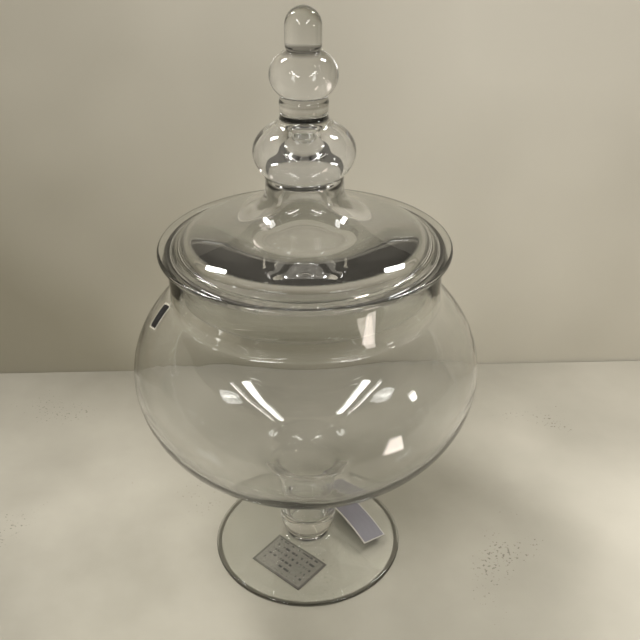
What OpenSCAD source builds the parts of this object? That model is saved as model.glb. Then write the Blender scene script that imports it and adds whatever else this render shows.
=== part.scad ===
// Footed apothecary jar of clear blown glass, with a lift-off lid.
// The origin is on the table, under the middle of the foot. +Z is up and the shop's side is -Y.

/* [Foot and stem] */
// Radius of the disc foot
foot_r = 64; // [56:1:72]
// Thickness of the foot at its fire-polished edge
foot_edge = 3.2; // [2.4:0.2:4]
// Height of the weld between foot and stem
weld_z = 12.8; // [12:0.2:14]
// Radius of the stem at the weld
stem_r = 14.5; // [13:0.5:17]
// Depth of the hollow under the foot
kick = 0.6; // [0.5:0.1:0.9]

/* [Bowl and neck] */
// Largest radius of the bowl
bowl_r = 105.4; // [98:0.1:112]
// Height of the widest line of the bowl
bowl_z = 148; // [146:0.5:150]
// Half height of the full spheroid that the bowl is cut from
bowl_c = 76.5; // [75:0.1:78]
// Outer radius of the neck
neck_r = 79.3; // [77:0.1:81]
// Height of the mouth's rim
rim_z = 226.7; // [222:0.1:226.7]
// Thickness of the blown wall
wall = 2.2; // [1.8:0.1:2.8]

/* [Lid] */
// Radius of the lid's brim
brim_r = 84.7; // [82:0.1:88]
// Thickness of the brim's rounded edge
brim_t = 3.8; // [3.4:0.2:4.4]
// Height of the face that rests on the mouth's rim
seat_z = 227; // [227:0.1:228]
// Outer radius of the ring that plugs the neck
plug_r = 74.3; // [70:0.1:75]
// Height of the plug ring's lower edge at rest
plug_z = 206; // [200:0.5:212]
// Radius of the lid's waist, under the bulb
waist_r = 21.9; // [20:0.1:24]
// Height of the waist
waist_z = 266; // [264:0.5:268]

/* [Finial] */
// Radius of the hollow bulb
bulb_r = 28.4; // [26:0.1:31]
// Height of the bulb's widest line
bulb_z = 284.3; // [283:0.1:286]
// Radius of the collar above the bulb
collar_r = 13; // [12:0.1:14]
// Radius of the solid ball
ball_r = 18.4; // [17:0.1:20]
// Height of the ball's centre
ball_z = 325.3; // [324:0.1:327]
// Radius of the rounded tip
tip_r = 9.7; // [9:0.1:10.4]
// Overall height of the jar with its lid on
total_z = 360; // [358:0.5:364]

/* [Paper labels] */
// Length of the price card under the foot
card_l = 42; // [36:1:44]
// Width of the price card
card_w = 28; // [24:1:30]
// Width of the hang card that lies on the foot
tag_w = 19; // [14:1:20]
// Length of the hang card
tag_l = 48; // [40:1:52]
// Length of the small label on the shoulder
badge_l = 17; // [12:0.5:20]
// Width of the small label on the shoulder
badge_w = 10; // [8:0.5:12]

/* [Hidden] */
$fn = 96;
GLASS = [0.80, 0.84, 0.80, 0.45];

// Radius of the stem's body, and the height up to which it is rounded at the bottom
stem_body_r = 19;
stem_round_z = 28;
// Height at which the stem ends and the bowl's own glass starts
stem_top_z = 60;
// Radius of the stem there
stem_top_r = 20.5;
// Radius of the hollow inside the stem, at its middle and at the top
stem_hollow_r = 15.6;
stem_mouth_r = 16.2;
// Height above which the hollow of the stem is straight, below it is a rounded end
stem_hollow_z = 31;
// Radius at which the fillet under the bowl runs into the spheroid
fillet_r = 36;
// Radius at which the floor of the bowl starts to dip into the stem
funnel_r = 30;
// Radius inside which the underside of the foot is hollow
kick_r = 60;
// Half height of the bowl's inner spheroid, below its widest line
inner_c = bowl_c - 4;
// Heights where the finial's gathers are joined
bulb_top_z = 300.6;
ball_low_z = 315;
tip_low_z = 337.6;
// Inner radius of the lid's throat
throat_r = 13;
// Radius at which the lid's dome turns down into its shoulder
shoulder_r = 55;

// Points on a cubic curve from a to d, pulled towards b and c
function curve(a, b, c, d, n = 12) =
    [for (i = [0:n]) let (t = i / n, s = 1 - t)
        s * s * s * a + 3 * s * s * t * b + 3 * s * t * t * c + t * t * t * d];

// Points on an ellipse about [0, z] or [r, z], from angle p to angle q
function arc(r, z, a, b, p, q, n = 24) =
    [for (i = [0:n]) let (t = p + (q - p) * i / n) [r + a * cos(t), z + b * sin(t)]];

// Height of the bowl's outer spheroid below its widest line, at radius r
function bowl_low(r) = bowl_z - bowl_c * sqrt(1 - pow(r / bowl_r, 2));

// Height of the bowl's inner spheroid below its widest line, at radius r
function floor_low(r) = bowl_z - inner_c * sqrt(1 - pow(r / (bowl_r - wall), 2));

// Angle on a spheroid of radius a at which its radius is r
function angle_at(r, a) = acos(r / a);

// Height of the foot's upper face at radius r, outside its flare
function foot_top(r) = foot_edge + (foot_r - r) * tan(8);

module foot() {
    edge = foot_edge / 2;
    flare_r = 34;
    color(GLASS)
        rotate_extrude()
            polygon(concat(
                [[0, kick]],
                curve([kick_r - 5.5, kick], [kick_r - 3, kick], [kick_r - 2, 0], [kick_r, 0], 6),
                arc(foot_r - edge, edge, edge, edge, -90, 75, 10),
                curve([flare_r, foot_top(flare_r)], [stem_r + 9.5, foot_top(stem_r + 9.5)],
                      [stem_r + 2, weld_z - 3], [stem_r, weld_z]),
                [[0, weld_z]]));
}

module stem() {
    color(GLASS)
        rotate_extrude()
            polygon(concat(
                [[0, weld_z]],
                curve([stem_r, weld_z], [stem_r + 2.7, weld_z + 2.8],
                      [stem_body_r, 20], [stem_body_r, stem_round_z]),
                curve([stem_body_r, stem_round_z + 1], [stem_body_r, 42],
                      [stem_body_r + 0.3, 50], [stem_top_r, stem_top_z], 8),
                curve([stem_mouth_r, stem_top_z], [stem_hollow_r + 0.1, 50],
                      [stem_hollow_r + 0.2, 40], [stem_hollow_r, stem_hollow_z], 8),
                arc(0, stem_hollow_z, stem_hollow_r, 8.5, -6, -90, 12)));
}

module bowl() {
    low = -angle_at(fillet_r, bowl_r);
    shoulder = angle_at(neck_r + 3.5, bowl_r);
    bore = neck_r - wall;
    inner_r = bowl_r - wall;
    inner_top = bowl_c - 1.5;
    corner = angle_at(bore, inner_r);
    dip = -angle_at(funnel_r, inner_r);
    color(GLASS)
        rotate_extrude()
            polygon(concat(
                curve([stem_top_r, stem_top_z], [stem_top_r + 1.3, stem_top_z + 8],
                      [26, bowl_low(26) - 0.6], [fillet_r, bowl_low(fillet_r)]),
                arc(0, bowl_z, bowl_r, bowl_c, low, shoulder, 44),
                curve([neck_r + 1.6, 197.2], [neck_r + 0.5, 198.4], [neck_r, 201], [neck_r, 206], 5),
                arc(bore + wall / 2, rim_z - wall / 2, wall / 2 + 0.4, wall / 2, 0, 180, 10),
                [[bore, 204]],
                arc(0, bowl_z, inner_r, inner_top, corner, 0, 14),
                arc(0, bowl_z, inner_r, inner_c, -3, dip, 28),
                curve([funnel_r - 0.8, floor_low(funnel_r) - 0.3], [22, floor_low(funnel_r) - 2.6],
                      [stem_mouth_r + 0.4, stem_top_z + 8], [stem_mouth_r, stem_top_z])));
}

module lid_shell() {
    edge = brim_t / 2;
    thick = wall + 0.4;
    inner = plug_r - thick;
    color(GLASS)
        rotate_extrude()
            polygon(concat(
                [[throat_r, waist_z]],
                curve([throat_r, 260], [throat_r, 250], [20, 245], [30, 240], 14),
                curve([30.5, 239.8], [38, 236], [46, 235.2], [64, 234.8], 12),
                curve([64.5, 234.8], [70, 234.6], [inner, 231], [inner, 222], 10),
                arc(plug_r - thick / 2, plug_z + thick / 2, thick / 2, thick / 2, 180, 360, 10),
                [[plug_r, seat_z]],
                arc(brim_r - edge, seat_z + edge, edge, edge, -90, 80, 10),
                curve([81, seat_z + 3.7], [77, seat_z + 3.7], [74.9, 231], [74, 231.9], 6),
                curve([73.5, 232.4], [70, 236], [63, 238.9], [shoulder_r, 241.5], 14),
                curve([shoulder_r - 1, 241.8], [48, 243.8], [41, 245.8], [34, 249.2], 10),
                curve([33.5, 249.4], [27, 252.8], [waist_r, 256], [waist_r, waist_z], 14)));
}

module lid_bulb() {
    low = -angle_at(waist_r, bulb_r);
    drop = 20.2;
    rise = 18.4;
    hollow_top_z = 297;
    hollow_r = 19;
    dome_r = 8.2;
    dome_z = 290.5;
    color(GLASS)
        rotate_extrude()
            polygon(concat(
                [[waist_r, waist_z]],
                curve([waist_r, waist_z + 0.5], [waist_r - 0.2, waist_z + 2], [waist_r, waist_z + 4],
                      [waist_r + 0.8, waist_z + 5.8], 5),
                arc(0, bulb_z, bulb_r, drop, low + 3, 0, 14),
                arc(0, bulb_z, bulb_r, rise, 4, angle_at(collar_r + 1.5, bulb_r), 16),
                [[collar_r + 1.5, bulb_top_z], [0, bulb_top_z]],
                curve([0, hollow_top_z], [4.5, hollow_top_z], [dome_r - 0.6, 295], [dome_r, dome_z], 8),
                curve([dome_r + 0.1, dome_z - 0.5], [9.7, 283], [hollow_r, 286], [hollow_r, 277], 12),
                curve([hollow_r, 276.5], [18.5, 271], [throat_r + 0.4, 269], [throat_r, waist_z], 10)));
}

module finial_collar() {
    color(GLASS)
        rotate_extrude()
            polygon(concat(
                [[0, bulb_top_z]],
                curve([collar_r + 1.5, bulb_top_z], [collar_r + 0.4, bulb_top_z + 1.5],
                      [collar_r, bulb_top_z + 4], [collar_r, bulb_top_z + 7], 6),
                [[collar_r, ball_low_z], [0, ball_low_z]]));
}

module finial_ball() {
    half = 14.55;
    low = asin((ball_low_z - ball_z) / half);
    high = asin((tip_low_z - ball_z) / half);
    color(GLASS)
        rotate_extrude()
            polygon(concat(
                [[0, ball_low_z]],
                arc(0, ball_z, ball_r, half, low, high, 32),
                [[0, tip_low_z]]));
}

module finial_tip() {
    color(GLASS)
        rotate_extrude()
            polygon(concat(
                [[0, tip_low_z], [tip_r + 0.4, tip_low_z], [tip_r, tip_low_z + 3]],
                arc(0, total_z - tip_r, tip_r, tip_r, 0, 90, 14)));
}

// Stuck flat under the foot, inside the hollow
module price_card() {
    thick = 0.25;
    gap = 0.1;
    color("lightgrey")
        translate([-12.7, -26, kick - gap - thick])
            rotate([0, 0, -42])
                translate([-card_l / 2, -card_w / 2, 0])
                    cube([card_l, card_w, thick]);
}

// A folded leaflet card, arched a little, that leans on the foot beside the stem
module hang_card() {
    thick = 0.8;
    bend_r = 130;
    half = asin(tag_l / 2 / bend_r);
    color("slategrey")
        translate([32.9, 7.8, 13.8])
            rotate([0, 0, 125.5])
                rotate([9, -10, 0])
                    rotate([90, 0, 0])
                        linear_extrude(tag_w, center = true)
                            polygon(concat(
                                arc(0, -bend_r, bend_r, bend_r, 90 - half, 90 + half, 12),
                                arc(0, -bend_r, bend_r + thick, bend_r + thick,
                                    90 + half, 90 - half, 12)));
}

// A small label that follows the curve of the bowl's shoulder on the left
module shoulder_label() {
    gap = 0.15;
    thick = 0.3;
    azimuth = -167.5;
    height = 190.5;
    color("black")
        intersection() {
            rotate_extrude()
                polygon(concat(
                    arc(0, bowl_z, bowl_r + gap, bowl_c + gap, 15, 40, 40),
                    arc(0, bowl_z, bowl_r + gap + thick, bowl_c + gap + thick, 40, 15, 40)));
            rotate([0, 0, azimuth])
                translate([84, 0, height])
                    rotate([0, 43, 0])
                        rotate([0, 0, 22])
                            cube([badge_l, badge_w, 24], center = true);
        }
}

foot();
stem();
bowl();
price_card();
hang_card();
shoulder_label();
lid_shell();
lid_bulb();
finial_collar();
finial_ball();
finial_tip();
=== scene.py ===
import math

import bpy
import numpy as np
from mathutils import Matrix, Quaternion, Vector


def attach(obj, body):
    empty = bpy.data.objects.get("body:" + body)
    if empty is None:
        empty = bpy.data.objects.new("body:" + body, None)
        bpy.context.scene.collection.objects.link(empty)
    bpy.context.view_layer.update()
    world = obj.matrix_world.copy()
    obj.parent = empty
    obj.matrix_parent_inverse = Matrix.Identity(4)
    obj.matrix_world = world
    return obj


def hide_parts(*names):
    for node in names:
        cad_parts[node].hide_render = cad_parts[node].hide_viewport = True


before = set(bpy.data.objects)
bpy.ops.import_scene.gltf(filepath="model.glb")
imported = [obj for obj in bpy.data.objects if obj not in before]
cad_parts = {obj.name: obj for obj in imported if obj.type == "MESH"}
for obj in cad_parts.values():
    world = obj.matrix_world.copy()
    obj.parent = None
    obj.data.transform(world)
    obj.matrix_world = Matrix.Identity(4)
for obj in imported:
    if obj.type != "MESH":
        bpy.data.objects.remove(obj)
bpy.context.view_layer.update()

MM = 0.001

# ---- Camera ----
# It stands in front of the jar at about head height above the table and looks down on it by 30 degrees.
# The long lens keeps the jar's proportions natural.
pitch, yaw = math.radians(29.96), math.radians(1.075)
camera_data = bpy.data.cameras.new("camera")
camera_data.sensor_width = 36.0
camera_data.lens = 48.77
camera = bpy.data.objects.new("camera", camera_data)
camera.location = (0.0, -0.456, 0.4403)
camera.rotation_euler = (math.radians(90.0) - pitch, 0.0, -yaw)
bpy.context.collection.objects.link(camera)
bpy.context.scene.camera = camera


# ---- Stage: table, back wall and lamps ----
# A pale painted table runs up to a low pale wall behind the jar; the wall shows from its front only. The
# table ends a little in front of the jar, and a dim room lies around it.
def linear(hex_colour):
    """sRGB hex to the linear RGBA that Blender's sockets take: the standard piecewise curve."""
    parts = np.array([int(hex_colour[i:i + 2], 16) for i in (1, 3, 5)]) / 255.0
    low, high = parts / 12.92, ((parts + 0.055) / 1.055) ** 2.4
    return (*np.where(parts <= 0.04045, low, high).tolist(), 1.0)


def add_node(tree, kind, settings=None, links=None):
    """Adds a node, sets its attributes or sockets by name, and links inputs from (node, socket) pairs."""
    node = tree.nodes.new(kind)
    for key, value in (settings or {}).items():
        if isinstance(key, str) and hasattr(node, key):
            setattr(node, key, value)
        else:
            node.inputs[key].default_value = value
    for key, (source, socket) in (links or {}).items():
        tree.links.new(source.outputs[socket], node.inputs[key])
    return node


def new_material(name):
    """A material with an empty node tree and its output node."""
    material = bpy.data.materials.new(name)
    material.use_nodes = True
    material.node_tree.nodes.clear()
    output = material.node_tree.nodes.new("ShaderNodeOutputMaterial")
    return material, material.node_tree, output


def mesh_object(name, points, faces, smooth=True):
    """A mesh object at the origin from an array of points in metres and a list of faces."""
    mesh = bpy.data.meshes.new(name)
    mesh.from_pydata(points.tolist(), [], faces)
    mesh.polygons.foreach_set("use_smooth", [smooth] * len(mesh.polygons))
    mesh.update()
    item = bpy.data.objects.new(name, mesh)
    bpy.context.collection.objects.link(item)
    return item


wall_top, half_width = 0.45, 1.3
left_y, right_y, seam = 0.1986, 0.2436, 0.0013
table = mesh_object("stage_table", np.array([
    (-half_width, -0.26, 0), (half_width, -0.26, 0),
    (half_width, right_y - seam, 0), (-half_width, left_y - seam, 0)]), [(0, 1, 2, 3)], smooth=False)
wall = mesh_object("stage_wall", np.array([
    (-half_width, left_y, -0.01), (half_width, right_y, -0.01),
    (half_width, right_y, wall_top), (-half_width, left_y, wall_top)]), [(0, 1, 2, 3)], smooth=False)

table_paint, tree, output = new_material("painted_table_board")
place = add_node(tree, "ShaderNodeTexCoord")
axes = add_node(tree, "ShaderNodeSeparateXYZ", None, {0: (place, "Object")})
# Painted light: the board grows lighter towards the right, standing in for the brighter light falling
# there; the noise patches are the paint's own mottled tone.
across = add_node(tree, "ShaderNodeMapRange", {1: 0.06, 2: 0.35, 3: 0.14, 4: 0.95}, {0: (axes, "X")})
cloud = add_node(tree, "ShaderNodeTexNoise", {"Scale": 6.5, "Detail": 5.0}, {"Vector": (place, "Object")})
patch = add_node(tree, "ShaderNodeMapRange", {1: 0.3, 2: 0.7, 3: 0.0, 4: 0.45}, {0: (cloud, "Fac")})
both = add_node(tree, "ShaderNodeMath", {"operation": "ADD"}, {0: (across, 0), 1: (patch, 0)})
painted_light_and_mottle = add_node(tree, "ShaderNodeMix", {"data_type": "RGBA", 6: linear("#7B776B"), 7: linear("#BCB7AA")},
                {0: (both, 0)})
fleck = add_node(tree, "ShaderNodeTexNoise", {"Scale": 420.0, "Detail": 4.0}, {"Vector": (place, "Object")})
area = add_node(tree, "ShaderNodeTexNoise", {"Scale": 11.0, "Detail": 2.0}, {"Vector": (place, "Object")})
dirt = add_node(tree, "ShaderNodeMath", {"operation": "MULTIPLY"}, {0: (fleck, "Fac"), 1: (area, "Fac")})
scuffed = add_node(tree, "ShaderNodeMapRange", {1: 0.415, 2: 0.46, 3: 0.0, 4: 0.6}, {0: (dirt, 0)})
tint = add_node(tree, "ShaderNodeMix", {"data_type": "RGBA", 7: linear("#4F4A40")},
                {0: (scuffed, 0), 6: (painted_light_and_mottle, 2)})
surface = add_node(tree, "ShaderNodeBsdfPrincipled", {"Roughness": 0.55, "Specular IOR Level": 0.3},
                   {"Base Color": (tint, 2)})
tree.links.new(surface.outputs[0], output.inputs["Surface"])
table.data.materials.append(table_paint)

wall_paint, tree, output = new_material("matt_wall_paint")
place = add_node(tree, "ShaderNodeTexCoord")
axes = add_node(tree, "ShaderNodeSeparateXYZ", None, {0: (place, "Object")})
# Painted shade and light: the wall darkens towards the bottom, standing in for the shade in the corner by
# the table, and lightens towards the right where more light falls; the noise patches are uneven paint.
rise = add_node(tree, "ShaderNodeMapRange", {1: 0.0, 2: 0.32, 3: 0.05, 4: 0.5}, {0: (axes, "Z")})
across = add_node(tree, "ShaderNodeMapRange", {1: -0.3, 2: 0.3, 3: -0.18, 4: 0.65}, {0: (axes, "X")})
cloud = add_node(tree, "ShaderNodeTexNoise", {"Scale": 5.0, "Detail": 2.0}, {"Vector": (place, "Object")})
patch = add_node(tree, "ShaderNodeMapRange", {1: 0.3, 2: 0.7, 3: -0.15, 4: 0.15}, {0: (cloud, "Fac")})
both = add_node(tree, "ShaderNodeMath", {"operation": "ADD"}, {0: (rise, 0), 1: (across, 0)})
painted_light_shade_and_mottle = add_node(tree, "ShaderNodeMath", {"operation": "ADD"}, {0: (both, 0), 1: (patch, 0)})
tint = add_node(tree, "ShaderNodeMix", {"data_type": "RGBA", 6: linear("#9C9684"), 7: linear("#F0EADB")},
                {0: (painted_light_shade_and_mottle, 0)})
surface = add_node(tree, "ShaderNodeBsdfPrincipled", {"Roughness": 0.8}, {"Base Color": (tint, 2)})
behind = add_node(tree, "ShaderNodeBsdfTransparent")
side = add_node(tree, "ShaderNodeNewGeometry")
shown = add_node(tree, "ShaderNodeMixShader", None,
                 {0: (side, "Backfacing"), 1: (surface, 0), 2: (behind, 0)})
tree.links.new(shown.outputs[0], output.inputs["Surface"])
wall.data.materials.append(wall_paint)

def lamp(name, centre, aim, size, power, seen=True, lights=True, colour=(1.0, 0.985, 0.955)):
    """A rectangular lamp of size (width, length) in metres, aimed at a point. With seen off it is not
    mirrored in the glass, and with lights off it is only mirrored and lights nothing."""
    data = bpy.data.lights.new(name, "AREA")
    data.shape = "RECTANGLE"
    data.size, data.size_y = size
    data.energy = power
    data.color = colour
    item = bpy.data.objects.new(name, data)
    item.location = centre
    item.rotation_mode = "QUATERNION"
    item.rotation_quaternion = (Vector(aim) - Vector(centre)).to_track_quat("-Z", "Y")
    item.visible_diffuse = lights
    item.visible_glossy = seen
    item.visible_transmission = seen
    bpy.context.collection.objects.link(item)
    return item


for x, tag, reach in ((-1, "left", 2.9), (1, "right", 1.9)):
    middle = -0.9 - reach / 2
    lamp("lamp_back_" + tag, (0.62 * x, 0.42, 1.0), (0, 0, 0.3), (0.12, 0.22), 4.5)
    lamp("tube_near_" + tag, (x, middle, 1.33), (x, middle, 0), (0.17, reach), 14.0 * reach, lights=False)
    lamp("tube_far_" + tag, (1.36 * x, middle, 1.33), (1.36 * x, middle, 0), (0.05, reach), 3.6 * reach,
         lights=False)
lamp("lamp_side", (1.1, -0.45, 0.38), (0, 0, 0.15), (0.1, 0.12), 0.8, lights=False)
glow = lamp("lamp_low", (0.333, -0.295, 0.004), (0.333, -0.295, 1.0), (0.07, 0.26), 0.45, lights=False,
            colour=(1.0, 0.88, 0.80))
glow.rotation_quaternion = Quaternion((0, 0, 1), math.radians(53)) @ Quaternion((1, 0, 0), math.pi)
lamp("lamp_top", (-0.45, 0.15, 1.25), (0, 0, 0), (0.35, 0.35), 13.0, seen=False)
lamp("lamp_front", (-0.1, -1.0, 1.5), (0, 0, 0.1), (0.8, 0.8), 14.5, seen=False)

world = bpy.data.worlds.new("room")
bpy.context.scene.world = world
world.use_nodes = True
backdrop = world.node_tree.nodes["Background"]
backdrop.inputs["Color"].default_value = linear("#8F8A80")
backdrop.inputs["Strength"].default_value = 0.5
bpy.context.scene.cycles.max_bounces = 24
bpy.context.scene.cycles.transmission_bounces = 24
bpy.context.scene.cycles.transparent_max_bounces = 24
bpy.context.scene.view_settings.view_transform = "Standard"


# ---- Jar: foot, stem and bowl ----
# The jar is one piece of clear soda-lime glass: a blown bowl, a stem and a spun foot welded hot, so no
# seam is left between them. It is turned here as one closed skin, with the same sizes as the frame.
def curve(a, b, c, d, n=24):
    """Points on the cubic Bezier curve from a to d, pulled towards b and c."""
    t = np.linspace(0.0, 1.0, n)[:, None]
    s = 1.0 - t
    return s**3 * np.array(a) + 3 * s**2 * t * np.array(b) + 3 * s * t**2 * np.array(c) + t**3 * np.array(d)


def arc(r, z, a, b, start, end, n=24):
    """Points on the ellipse about (r, z) with half axes a and b, from angle start to end in degrees."""
    t = np.radians(np.linspace(start, end, n))
    return np.column_stack([r + a * np.cos(t), z + b * np.sin(t)])


def turned(name, profile, sides=256):
    """Revolves a profile of (radius, height) rows in millimetres about Z. The first and last rows lie on
    the axis and become poles, so the skin is closed."""
    keep = np.ones(len(profile), bool)
    keep[1:] = np.linalg.norm(np.diff(profile, axis=0), axis=1) > 1e-4
    profile = profile[keep]
    rings = profile[1:-1]
    angle = np.linspace(0, 2 * math.pi, sides, endpoint=False)
    x = rings[:, :1] * np.cos(angle)
    y = rings[:, :1] * np.sin(angle)
    z = np.repeat(rings[:, 1:], sides, axis=1)
    points = np.stack([x, y, z], axis=-1).reshape(-1, 3)
    points = np.vstack([points, [0, 0, profile[0, 1]], [0, 0, profile[-1, 1]]]) * MM
    index = np.arange(len(rings) * sides).reshape(-1, sides)
    nxt = np.roll(index, -1, axis=1)
    quads = np.stack([index[:-1], nxt[:-1], nxt[1:], index[1:]], axis=-1).reshape(-1, 4)
    first, last = len(points) - 2, len(points) - 1
    start_fan = np.stack([np.full(sides, first), nxt[0], index[0]], axis=-1)
    end_fan = np.stack([np.full(sides, last), index[-1], nxt[-1]], axis=-1)
    faces = quads.tolist() + start_fan.tolist() + end_fan.tolist()
    return mesh_object(name, points, faces)


def clear_glass(name, pale, clear, zones):
    """Clear soda-lime glass, fire-polished: fully transmitting, IOR 1.52, and no roughness. Faint cords of
    slightly greyer glass and a very shallow waviness come from the blowing. The zones are rows of (height
    in millimetres, colour, share of dust): their colours are painted shade, greying the glass at the weld
    creases and where the lid's plug ring sits in the jar's mouth, and their dust share lays a thin film of
    shelf dust on it.
    Shadow rays pass straight through with a light tint, as light does through thin walls."""
    material, tree, output = new_material(name)
    place = add_node(tree, "ShaderNodeTexCoord")
    stretched = add_node(tree, "ShaderNodeMapping", {"Scale": (1.0, 1.0, 3.0)},
                         {"Vector": (place, "Object")})
    cords = add_node(tree, "ShaderNodeTexNoise", {"Scale": 22.0, "Detail": 2.0, "Roughness": 0.4},
                     {"Vector": (stretched, 0)})
    tint = add_node(tree, "ShaderNodeMix", {"data_type": "RGBA", 6: linear(pale), 7: linear(clear)},
                    {0: (cords, "Fac")})
    axes = add_node(tree, "ShaderNodeSeparateXYZ", None, {0: (place, "Object")})
    rise = add_node(tree, "ShaderNodeMapRange", {1: 0.0, 2: 0.36, 3: 0.0, 4: 1.0}, {0: (axes, "Z")})
    # Painted shade: the ramp's colours grey the glass at the weld creases and the mouth band; its alpha
    # carries the dust share.
    ramp = add_node(tree, "ShaderNodeValToRGB", None, {0: (rise, 0)})
    stops = ramp.color_ramp.elements
    stops[0].color = stops[1].color = (*linear(zones[0][1])[:3], 0.0)
    for height, shade, dust in zones:
        stops.new(height / 360).color = (*linear(shade)[:3], dust)
    greyed = add_node(tree, "ShaderNodeMix", {"data_type": "RGBA", "blend_type": "MULTIPLY", 0: 1.0},
                      {6: (tint, 2), 7: (ramp, 0)})
    wave = add_node(tree, "ShaderNodeBump", {"Strength": 0.35, "Distance": 0.0005},
                    {"Height": (cords, "Fac")})
    body = add_node(tree, "ShaderNodeBsdfPrincipled", {
        "Roughness": 0.0, "IOR": 1.52, "Transmission Weight": 1.0},
        {"Base Color": (greyed, 2), "Normal": (wave, 0)})
    film = add_node(tree, "ShaderNodeBsdfDiffuse", {"Color": linear("#A8A398")})
    dusty = add_node(tree, "ShaderNodeMixShader", None, {0: (ramp, "Alpha"), 1: (body, 0), 2: (film, 0)})
    shade = add_node(tree, "ShaderNodeBsdfTransparent", {"Color": linear("#D9D9D6")})
    path = add_node(tree, "ShaderNodeLightPath")
    shown = add_node(tree, "ShaderNodeMixShader", None,
                     {0: (path, "Is Shadow Ray"), 1: (dusty, 0), 2: (shade, 0)})
    tree.links.new(shown.outputs[0], output.inputs["Surface"])
    return material


bowl_r, bowl_z, bowl_c = 105.4, 148.0, 76.5
neck_r, wall_t, rim_z = 79.3, 2.2, 226.7


def bowl_low(r):
    """Height of the bowl's outer spheroid below its widest line, at radius r."""
    return bowl_z - bowl_c * math.sqrt(1 - (r / bowl_r) ** 2)


def angle_at(r, a):
    """Angle in degrees on a spheroid of radius a at which its radius is r."""
    return math.degrees(math.acos(r / a))


def hollow_low(r):
    """Height of the bowl's inner spheroid below its widest line, at radius r."""
    return bowl_z - (bowl_c - 4) * math.sqrt(1 - (r / (bowl_r - wall_t)) ** 2)


bore = neck_r - wall_t
jar_profile = np.vstack([
    [(0, 0.6)],
    curve((54.5, 0.6), (57, 0.6), (58, 0), (60, 0), 8),
    arc(62.4, 1.6, 1.6, 1.6, -90, 75, 14),
    curve((34, 7.42), (24, 8.9), (16.5, 9.8), (14.5, 12.8), 24),
    curve((14.5, 12.8), (17.2, 15.6), (19.0, 20), (19.0, 28), 16),
    curve((19.0, 28), (19.0, 42), (19.3, 50), (20.5, 60), 16),
    curve((20.5, 60), (21.8, 68), (26, bowl_low(26) - 0.6), (36, bowl_low(36)), 20),
    arc(0, bowl_z, bowl_r, bowl_c, -angle_at(36, bowl_r), angle_at(neck_r + 3.5, bowl_r), 90),
    curve((neck_r + 1.6, 197.2), (neck_r + 0.5, 198.4), (neck_r, 201), (neck_r, 206), 8),
    arc(bore + wall_t / 2, rim_z - wall_t / 2, wall_t / 2 + 0.4, wall_t / 2, 0, 180, 16),
    [(bore, 204)],
    arc(0, bowl_z, bowl_r - wall_t, bowl_c - 1.5, angle_at(bore, bowl_r - wall_t), 0, 34),
    arc(0, bowl_z, bowl_r - wall_t, bowl_c - 4, -3, -angle_at(30, bowl_r - wall_t), 60),
    curve((30, hollow_low(30)), (22, hollow_low(30) - 2.6), (16.6, 68), (16.2, 60), 20),
    curve((16.2, 60), (15.7, 50), (15.8, 40), (15.6, 31), 14),
    arc(0, 31, 15.6, 8.5, 0, -90, 20),
])
jar = turned("jar_glass", jar_profile)
# The grey rows are painted shade: the stem's weld crease at 12.8 mm, and the mouth band from 208 mm up
# where the lid's plug ring sits.
jar.data.materials.append(clear_glass("soda_lime_glass_blown", "#F4F5F4", "#FBFBFB", [
    (0, "#FFFFFF", 0), (11, "#FFFFFF", 0), (12.8, "#B9B7B2", 0), (14.5, "#FFFFFF", 0), (60, "#FFFFFF", 0),
    (68, "#FFFFFF", 0.02), (90, "#FFFFFF", 0.01), (196, "#FFFFFF", 0), (208, "#EEEEEB", 0),
    (225, "#EEEEEB", 0)]))
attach(jar, "jar")
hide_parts("foot", "stem", "bowl")

# ---- Lid: shell, bulb, collar, ball and tip ----
# The lid is clear glass, worked in one with its plug ring and thick at the middle of its dome. The bulb,
# ball and tip are gathers of the same glass welded on top, with a tight crease at each weld.
brim_r, seat_z, plug_r, plug_z = 84.7, 227.0, 74.3, 206.0
inner = plug_r - 2.6
bulb_z, ball_z = 284.3, 325.3
lid_profile = np.vstack([
    arc(0, 350.3, 9.7, 9.7, 90, 0, 20),
    curve((9.7, 342), (9.7, 339.8), (9.5, 338.9), (8.9, 338.4), 10),
    curve((8.9, 338.1), (9.2, 337.5), (10.2, 337.2), (11.2, 336.8), 6),
    arc(0, ball_z, 18.4, 14.55, 52, -40, 40),
    curve((13.6, 315.7), (12.9, 315.0), (12.7, 314.6), (12.8, 313.9), 8),
    curve((12.8, 313.5), (12.9, 312.6), (13.4, 312.3), (13.4, 311.0), 8),
    curve((13.4, 310.6), (13.3, 308.2), (12.8, 306.6), (13.0, 304.6), 10),
    curve((13.0, 304.4), (13.2, 302.4), (14.0, 301.0), (16.5, 299.3), 10),
    arc(0, bulb_z, 28.4, 18.4, 54, 0, 24),
    arc(0, bulb_z, 28.4, 20.2, -3, -36.5, 16),
    curve((22.7, 271.8), (21.9, 270), (21.7, 268), (21.9, 266), 6),
    curve((21.9, 266), (21.9, 256), (27, 252.8), (34, 249.2), 24),
    curve((34, 249.2), (41, 245.8), (48, 243.8), (55, 241.5), 20),
    curve((55, 241.5), (63, 238.9), (70, 236), (74, 231.9), 26),
    curve((74, 231.9), (74.9, 231), (77, 230.7), (81, 230.7), 12),
    arc(brim_r - 1.9, seat_z + 1.9, 1.9, 1.9, 80, -90, 16),
    [(plug_r, seat_z)],
    arc(plug_r - 1.3, plug_z + 1.3, 1.3, 1.3, 0, -180, 16),
    curve((inner, 222), (inner, 231), (70, 234.6), (64, 234.8), 20),
    curve((64, 234.8), (46, 235.2), (38, 236), (30, 240), 24),
    curve((30, 240), (20, 245), (13, 250), (13, 260), 20),
    curve((13, 266), (13.4, 269), (18.5, 271), (19, 277), 14),
    curve((19, 277), (19.3, 286), (9.6, 283), (8.2, 290.5), 24),
    curve((8.2, 290.5), (7.6, 295), (4.5, 297), (0, 297), 14),
])[::-1]
lid = turned("lid_glass", lid_profile)
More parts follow.
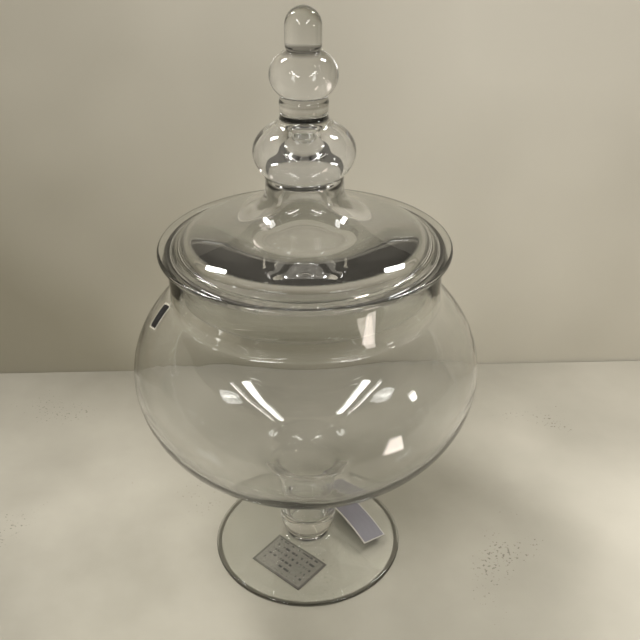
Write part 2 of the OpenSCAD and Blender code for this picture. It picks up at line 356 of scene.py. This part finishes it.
# The grey and dark rows are painted shade: the plug ring and brim below 226 mm, and the creases at the
# bulb, collar, ball and tip welds.
lid.data.materials.append(clear_glass("soda_lime_glass_lid", "#F3F4F4", "#FAFAFB", [
    (0, "#E6E6E2", 0), (226, "#E6E6E2", 0), (234.5, "#FFFFFF", 0), (236.5, "#FFFFFF", 0.035),
    (242, "#FFFFFF", 0.035), (246, "#FFFFFF", 0.005), (300, "#FFFFFF", 0.005), (303.5, "#C2C0BB", 0),
    (306.5, "#FFFFFF", 0), (309.8, "#FFFFFF", 0), (310.8, "#B4B2AD", 0), (311.6, "#FFFFFF", 0),
    (312.8, "#FFFFFF", 0), (314, "#8F8D88", 0), (315.4, "#FFFFFF", 0), (336.6, "#FFFFFF", 0),
    (337.6, "#4C4A46", 0), (338.8, "#4C4A46", 0), (340, "#FFFFFF", 0)]))
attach(lid, "lid")
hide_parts("lid_shell", "lid_bulb", "finial_collar", "finial_ball", "finial_tip")


# ---- Price card ----
# A retail price card of thin paper with printed rows, stuck flat under the foot by its gummed face.
# Its grey tone is painted shade, darkened for the shadow of the bowl and foot.
# Only plain bars stand for the print.
def slab(name, front, back):
    """A thin closed sheet from two grids of points in millimetres, rows by columns. The front lies on the
    side that column direction x row direction points to. UV runs 0 to 1 over both faces."""
    rows, columns = front.shape[:2]
    count = rows * columns
    index = np.arange(count).reshape(rows, columns)
    quads = np.stack([index[:-1, :-1], index[:-1, 1:], index[1:, 1:], index[1:, :-1]], axis=-1)
    quads = quads.reshape(-1, 4)
    rim = np.concatenate([index[0, :-1], index[:-1, -1], index[-1, :0:-1], index[:0:-1, 0]])
    following = np.roll(rim, -1)
    sides = np.stack([rim + count, following + count, following, rim], axis=-1)
    faces = np.vstack([quads, quads[:, ::-1] + count, sides])
    points = np.vstack([front.reshape(-1, 3), back.reshape(-1, 3)]) * MM
    item = mesh_object(name, points, faces.tolist(), smooth=False)
    v, u = np.meshgrid(np.linspace(0, 1, rows), np.linspace(0, 1, columns), indexing="ij")
    place = np.tile(np.column_stack([u.ravel(), v.ravel()]), (2, 1))
    layer = item.data.uv_layers.new(name="sheet")
    layer.data.foreach_set("uv", place[faces.ravel()].ravel())
    return item


def math_node(tree, operation, first, second=None, third=None):
    """A Math node; each argument is a number or a (node, socket) pair."""
    node = add_node(tree, "ShaderNodeMath", {"operation": operation})
    for position, value in enumerate((first, second, third)):
        if isinstance(value, tuple):
            tree.links.new(value[0].outputs[value[1]], node.inputs[position])
        elif value is not None:
            node.inputs[position].default_value = value
    return (node, 0)


def within(tree, value, low, high):
    """1 where the value lies between low and high, otherwise 0."""
    above = math_node(tree, "GREATER_THAN", value, low)
    below = math_node(tree, "LESS_THAN", value, high)
    return math_node(tree, "MULTIPLY", above, below)


card_l, card_w, card_top, card_t = 42.0, 28.0, 0.5, 0.25
u, v = np.meshgrid(np.linspace(-0.5, 0.5, 43), np.linspace(-0.5, 0.5, 29))
turn = math.radians(-42)
x = -12.7 + u * card_l * math.cos(turn) - v * card_w * math.sin(turn)
y = -26.0 + u * card_l * math.sin(turn) + v * card_w * math.cos(turn)
top = np.stack([x, y, np.full_like(x, card_top)], axis=-1)
price_card = slab("price_card_sheet", top, top - (0, 0, card_t))

paper, tree, output = new_material("price_card_paper_painted_shade")
sheet = add_node(tree, "ShaderNodeUVMap", {"uv_map": "sheet"})
axes = add_node(tree, "ShaderNodeSeparateXYZ", None, {0: (sheet, "UV")})
row = math_node(tree, "MULTIPLY", (axes, "Y"), 6.0)
row_index = math_node(tree, "FLOOR", row)
in_row = within(tree, math_node(tree, "FRACT", row), 0.3, 0.66)
along = math_node(tree, "MULTIPLY", (axes, "X"), 9.0)
jump = math_node(tree, "MULTIPLY", row_index, 5.3)
spot = add_node(tree, "ShaderNodeCombineXYZ", None, {0: along, 1: jump})
words = add_node(tree, "ShaderNodeTexNoise", {"Scale": 2.2, "Detail": 1.0}, {"Vector": (spot, 0)})
inked = math_node(tree, "GREATER_THAN", (words, "Fac"), 0.51)
margin = math_node(tree, "MULTIPLY", within(tree, (axes, "X"), 0.09, 0.9),
                   within(tree, (axes, "Y"), 0.1, 0.93))
print_mask = math_node(tree, "MULTIPLY", math_node(tree, "MULTIPLY", in_row, inked), margin)
inside = math_node(tree, "MULTIPLY", within(tree, (axes, "X"), 0.035, 0.965),
                   within(tree, (axes, "Y"), 0.05, 0.95))
border = math_node(tree, "SUBTRACT", 1.0, inside)
place = add_node(tree, "ShaderNodeTexCoord")
fibre = add_node(tree, "ShaderNodeTexNoise", {"Scale": 900.0, "Detail": 5.0}, {"Vector": (place, "Object")})
# Painted shade: the paper's tones are darkened to stand in for the shadow under the bowl and foot.
paper_in_painted_shade = add_node(tree, "ShaderNodeMix", {"data_type": "RGBA", 6: linear("#6F6B64"), 7: linear("#868178")},
                 {0: (fibre, "Fac")})
edged = add_node(tree, "ShaderNodeMix", {"data_type": "RGBA", 7: linear("#5C5851")},
                 {0: border, 6: (paper_in_painted_shade, 2)})
tint = add_node(tree, "ShaderNodeMix", {"data_type": "RGBA", 7: linear("#45423F")},
                {0: print_mask, 6: (edged, 2)})
bump = add_node(tree, "ShaderNodeBump", {"Strength": 0.2, "Distance": 0.00005}, {"Height": (fibre, "Fac")})
surface = add_node(tree, "ShaderNodeBsdfPrincipled", {"Roughness": 0.75},
                   {"Base Color": (tint, 2), "Normal": (bump, 0)})
tree.links.new(surface.outputs[0], output.inputs["Surface"])
price_card.data.materials.append(paper)
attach(price_card, "jar")
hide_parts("price_card")

# ---- Hang card ----
# A small folded leaflet of lilac-grey coated card, arched by its fold; its coat's dark tone is partly
# painted shade from the bowl above. It leans on the foot beside the stem, with its pale cut edges showing.
tag_l, tag_w, tag_t, bend_r = 48.0, 19.0, 0.8, 130.0
u, v = np.meshgrid(np.linspace(-0.5, 0.5, 49), np.linspace(-0.5, 0.5, 18))
angle = u * tag_l / bend_r
arched = np.stack([bend_r * np.sin(angle), v * tag_w, bend_r * (np.cos(angle) - 1)], axis=-1)
outward = np.stack([np.sin(angle), np.zeros_like(angle), np.cos(angle)], axis=-1)
lean = Matrix.Rotation(math.radians(125.5), 3, "Z") @ Matrix.Rotation(math.radians(-10), 3, "Y")
lean = np.array(lean @ Matrix.Rotation(math.radians(9), 3, "X"))
seat = np.array([32.9, 7.8, 13.8])
hang_card = slab("hang_card_leaflet", (arched + outward * tag_t) @ lean.T + seat, arched @ lean.T + seat)

board, tree, output = new_material("lilac_grey_coated_card")
sheet = add_node(tree, "ShaderNodeUVMap", {"uv_map": "sheet"})
axes = add_node(tree, "ShaderNodeSeparateXYZ", None, {0: (sheet, "UV")})
inside = math_node(tree, "MULTIPLY", within(tree, (axes, "X"), 0.012, 0.988),
                   within(tree, (axes, "Y"), 0.04, 0.96))
cut_edge = math_node(tree, "SUBTRACT", 1.0, inside)
stretched = add_node(tree, "ShaderNodeMapping", {"Scale": (2.5, 22.0, 1.0)}, {"Vector": (sheet, "UV")})
streak = add_node(tree, "ShaderNodeTexNoise", {"Scale": 1.6, "Detail": 6.0, "Roughness": 0.65},
                  {"Vector": (stretched, 0)})
# Painted shade: the coat's lilac-grey tones are darkened beyond the card's own colour, standing in for the
# bowl's shadow.
coat_with_painted_shade = add_node(tree, "ShaderNodeMix", {"data_type": "RGBA", 6: linear("#545158"), 7: linear("#7C787F")},
                {0: (streak, "Fac")})
tint = add_node(tree, "ShaderNodeMix", {"data_type": "RGBA", 7: linear("#B5AFA6")},
                {0: cut_edge, 6: (coat_with_painted_shade, 2)})
bump = add_node(tree, "ShaderNodeBump", {"Strength": 0.25, "Distance": 0.0002}, {"Height": (streak, "Fac")})
surface = add_node(tree, "ShaderNodeBsdfPrincipled", {"Roughness": 0.45},
                   {"Base Color": (tint, 2), "Normal": (bump, 0)})
tree.links.new(surface.outputs[0], output.inputs["Surface"])
hang_card.data.materials.append(board)
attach(hang_card, "jar")
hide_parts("hang_card")

# ---- Shoulder label ----
# A small self-adhesive label on the bowl's shoulder: a black printed lozenge with rounded corners on a
# clear gloss film; the pale line along the film's edge is a painted highlight.
badge_l, badge_w = 17.0, 10.0
tilt = Matrix.Rotation(math.radians(-167.5), 3, "Z") @ Matrix.Rotation(math.radians(43), 3, "Y")
tilt = np.array(tilt @ Matrix.Rotation(math.radians(22), 3, "Z"))
middle = np.array(Matrix.Rotation(math.radians(-167.5), 3, "Z") @ Vector((84.0, 0.0, 190.5)))
u, v = np.meshgrid(np.linspace(-0.5, 0.5, 35), np.linspace(-0.5, 0.5, 21))
flat = np.stack([u * badge_l, v * badge_w, np.zeros_like(u)], axis=-1) @ tilt.T + middle
axes3 = np.array([bowl_r, bowl_r, bowl_c])
centre = np.array([0.0, 0.0, bowl_z])
reach = np.linalg.norm((flat - centre) / axes3, axis=-1, keepdims=True)
on_bowl = (flat - centre) / reach + centre
normal = (on_bowl - centre) / axes3 ** 2
normal /= np.linalg.norm(normal, axis=-1, keepdims=True)
label = slab("shoulder_label_film", on_bowl + normal * 0.45, on_bowl + normal * 0.15)

film, tree, output = new_material("black_print_on_clear_gloss_film")
sheet = add_node(tree, "ShaderNodeUVMap", {"uv_map": "sheet"})
axes = add_node(tree, "ShaderNodeSeparateXYZ", None, {0: (sheet, "UV")})
corner = 0.12
side_x = math_node(tree, "ABSOLUTE", math_node(tree, "SUBTRACT", (axes, "X"), 0.5))
side_y = math_node(tree, "ABSOLUTE", math_node(tree, "SUBTRACT", (axes, "Y"), 0.5))
over_x = math_node(tree, "MAXIMUM", math_node(tree, "SUBTRACT", side_x, 0.43 - corner), 0.0)
over_y = math_node(tree, "MAXIMUM", math_node(tree, "SUBTRACT", side_y, 0.41 - corner), 0.0)
square = math_node(tree, "ADD", math_node(tree, "MULTIPLY", over_x, over_x),
                   math_node(tree, "MULTIPLY", over_y, over_y))
printed = math_node(tree, "LESS_THAN", square, corner ** 2)
# Painted highlight: a pale, nearly opaque line along the film's edge stands in for the light it catches.
rim = math_node(tree, "MAXIMUM", math_node(tree, "GREATER_THAN", side_x, 0.475),
                math_node(tree, "GREATER_THAN", side_y, 0.46))
rows = within(tree, math_node(tree, "FRACT", math_node(tree, "MULTIPLY", (axes, "Y"), 9.0)), 0.55, 0.8)
band = math_node(tree, "MULTIPLY", within(tree, (axes, "X"), 0.3, 0.7),
                 within(tree, (axes, "Y"), 0.42, 0.62))
marks = math_node(tree, "MULTIPLY", rows, band)
ink = add_node(tree, "ShaderNodeMix", {"data_type": "RGBA", 6: linear("#121214"), 7: linear("#4C4D52")},
               {0: marks})
tint = add_node(tree, "ShaderNodeMix", {"data_type": "RGBA", 6: linear("#B7B2A4")},
                {0: printed, 7: (ink, 2)})
shown = math_node(tree, "MAXIMUM", printed, math_node(tree, "MULTIPLY", rim, 0.8))
opaque = math_node(tree, "MAXIMUM", shown, 0.3)
surface = add_node(tree, "ShaderNodeBsdfPrincipled", {"Roughness": 0.45, "Specular IOR Level": 0.2},
                   {"Base Color": (tint, 2), "Alpha": opaque})
tree.links.new(surface.outputs[0], output.inputs["Surface"])
label.data.materials.append(film)
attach(label, "jar")
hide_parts("shoulder_label")
